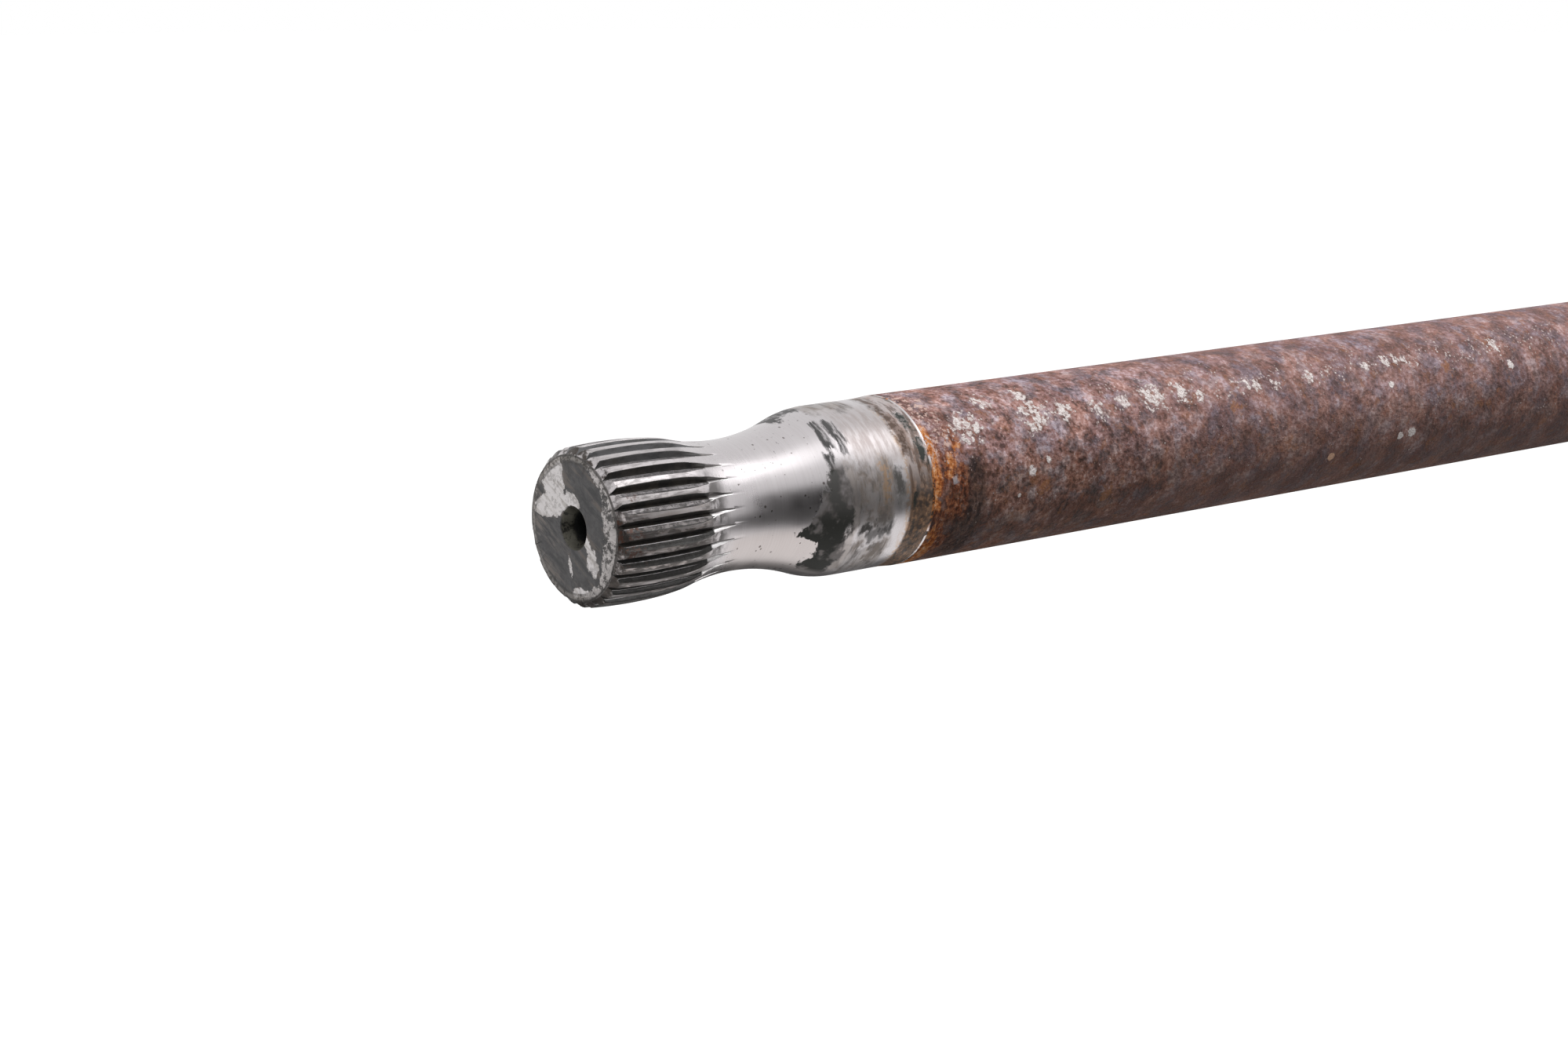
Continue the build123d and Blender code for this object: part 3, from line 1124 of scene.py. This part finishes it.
def rusted_bar():
    """Mottled rust with salt on its upper side, greyer farther along."""
    finish = Finish("rusted_bar")
    rust = use_group(finish.tree, rust_grain, finish.place)
    shade = fade(finish.turn, 64, 92) * 0.85
    farther = fade(finish.from_face, 80, 125)
    red = fade(finish.crumble, 0.53, 0.62, 0.0, 0.28)
    orange = fade(clouds(finish.place, 2.6, 5, 0.7, offset=140), 0.57, 0.65, 0.0, 0.3)
    orange = either(orange, fade(finish.spots(orange_flecks, 1.8), 0.05, 0.6, 0.0, 0.55))
    chip = fade(finish.spots([pale_chip], 0.6), 0.0, 0.3, 0.0, 0.9)
    salt, salt_height, salt_tone, bloom = salt_on_bar(finish)

    colour = blend(shade, rust["Color"], (0.74, 0.7, 0.6), "MULTIPLY")
    colour = blend(farther * 0.3, colour, (0.31, 0.19, 0.16))
    colour = tinted(finish, colour, 5.5, 171, (0.85, 0.845, 0.87), (1.33, 1.31, 1.3))
    colour = tinted(finish, colour, 4.5, 203, (0.955, 0.985, 1.1), (1.03, 0.98, 0.99))
    colour = blend(farther, colour, (0.88, 0.9, 0.93), "MULTIPLY")
    colour = blend(red, colour, (0.3, 0.115, 0.075))
    colour = blend(orange, colour, (0.4, 0.17, 0.065))
    colour = blend(chip, colour, (0.95, 0.6, 0.42))
    colour = rust_by_step(finish, colour)
    colour = blend(bloom, colour, (0.5, 0.37, 0.35))
    colour = blend(salt * 0.95, colour, salt_tone)
    roughness = fade(rust["Mottle"], 0.42, 0.56, 0.62, 0.85)
    height = rust["Height"] + salt_height * 0.2
    feed(finish.surface["Specular IOR Level"], 0.12)
    return finish.set(colour, 0.0, roughness, bump(height, 0.6))


# Studio, in metres

floor_height = -0.16
floor_radius = 6.0
floor_glow = 0.985
card_height = floor_height + 0.004
card_length = 5.0
world_light = 0.2

camera_place = (-0.53914, -0.31714, 0.08122)
camera_forward = (0.61491, 0.76154, -0.20482)
camera_lens = 66.12
sensor_width = 36.0

white = (1.0, 1.0, 1.0)
floor_grey = (0.2, 0.195, 0.19)
card_grey = (0.035, 0.035, 0.035)


def seen_directly(tree):
    """1 for what the camera, a reflection or glass sees, and 0 for what only lights."""
    path = values_of(tree.nodes.new("ShaderNodeLightPath"))
    return either(path["Is Camera Ray"], path["Is Glossy Ray"], path["Is Transmission Ray"])


def stage_piece(name, bm, colour):
    """A rough piece of the studio, with its node tree and its surface's inputs."""
    piece = new_object(name, bm)
    material, tree, surface = new_material(name)
    feed(surface["Base Color"], colour)
    feed(surface["Roughness"], 1.0)
    piece.data.materials.append(material)
    return piece, tree, surface


def pale_floor():
    bm = bmesh.new()
    bmesh.ops.create_circle(bm, cap_ends=True, segments=64, radius=floor_radius)
    bmesh.ops.translate(bm, verts=bm.verts, vec=(0, 0, floor_height))
    floor, tree, surface = stage_piece("pale_floor", bm, floor_grey)
    feed(surface["Specular IOR Level"], 0.0)
    feed(surface["Emission Color"], white)
    feed(surface["Emission Strength"], seen_directly(tree) * floor_glow)


def dark_card(name, corners, end):
    """A dark card along the shaft, up to a place on X, which only reflections see.

    The corners are its cross section, as (distance from the camera's side, height).
    """
    bm = bmesh.new()
    ends = [bm.verts.new((-card_length / 2, across, up)) for across, up in corners]
    edges = [bm.edges.new(pair) for pair in zip(ends, ends[1:])]
    grown = bmesh.ops.extrude_edge_only(bm, edges=edges)["geom"]
    far_side = [part for part in grown if isinstance(part, bmesh.types.BMVert)]
    bmesh.ops.translate(bm, verts=far_side, vec=(end + card_length / 2, 0, 0))
    card, _, _ = stage_piece(name, bm, card_grey)
    card.visible_camera = False
    card.visible_diffuse = False
    card.visible_shadow = False


def soft_lamp(name, place, target, size, watts, reflected=True, lights=True):
    """An oval lamp, its size along X first, which reflections or light can leave out."""
    lamp = bpy.data.lights.new(name, "AREA")
    lamp.shape = "ELLIPSE"
    lamp.size, lamp.size_y = size
    lamp.energy = watts
    lit = bpy.data.objects.new(name, lamp)
    lit.location = place
    lit.visible_glossy = reflected
    lit.visible_diffuse = lights
    lit.rotation_euler = (Vector(target) - Vector(place)).to_track_quat("-Z", "Y").to_euler()
    bpy.context.scene.collection.objects.link(lit)


def plain_world():
    world = bpy.data.worlds.new("plain_world")
    bpy.context.scene.world = world
    world.use_nodes = True
    background = world.node_tree.nodes["Background"].inputs
    feed(background["Color"], white)
    strength = fade(seen_directly(world.node_tree), 0, 1, world_light, 1.0)
    feed(background["Strength"], strength)


def photo_camera():
    camera = bpy.data.cameras.new("camera")
    camera.lens = camera_lens
    camera.sensor_width = sensor_width
    view = bpy.data.objects.new("camera", camera)
    view.location = camera_place
    view.rotation_euler = Vector(camera_forward).to_track_quat("-Z", "Y").to_euler()
    bpy.context.scene.collection.objects.link(view)
    bpy.context.scene.camera = view


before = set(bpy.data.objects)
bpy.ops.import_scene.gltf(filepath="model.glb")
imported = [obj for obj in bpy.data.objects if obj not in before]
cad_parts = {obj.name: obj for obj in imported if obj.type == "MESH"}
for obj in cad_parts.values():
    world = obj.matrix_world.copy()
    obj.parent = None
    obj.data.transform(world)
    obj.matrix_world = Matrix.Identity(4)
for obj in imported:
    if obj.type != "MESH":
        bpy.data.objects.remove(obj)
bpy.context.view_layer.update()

shaft = build_shaft()
for make_finish in (
    end_face_steel,
    centre_hole_steel,
    turned_steel,
    worn_tooth_steel,
    tooth_space_grease,
    rusted_bar,
):
    shaft.data.materials.append(make_finish())
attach(shaft, "root")
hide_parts("drive_shaft")

pale_floor()
dark_card("front_card", [(-0.2, card_height), (-1.6, card_height)], end=0.75)
dark_card("front_screen", [(-1.6, card_height), (-1.6, 0.62)], end=1.1)
# Painted shadow: a dark card on the floor behind the shaft, seen only in reflections, stands in
# for the shaft's shadow there.
dark_card("painted_shadow_card", [(0.05, card_height), (0.3, card_height)], end=2.5)
soft_lamp("key_lamp", (0.62, -0.38, 0.95), (-0.25, 0, 0), size=(0.7, 0.7), watts=1.6)
soft_lamp(
    "key_strip",
    (0.03, -0.45, 0.95),
    (0.03, 0, 0),
    size=(0.75, 0.5),
    watts=1.1,
    lights=False,
)
soft_lamp(
    "overhead_fill",
    (-0.1, -0.45, 1.48),
    (-0.2, 0, 0),
    size=(2.0, 2.0),
    watts=27.0,
    reflected=False,
)
plain_world()
photo_camera()
bpy.context.scene.view_settings.view_transform = "Standard"
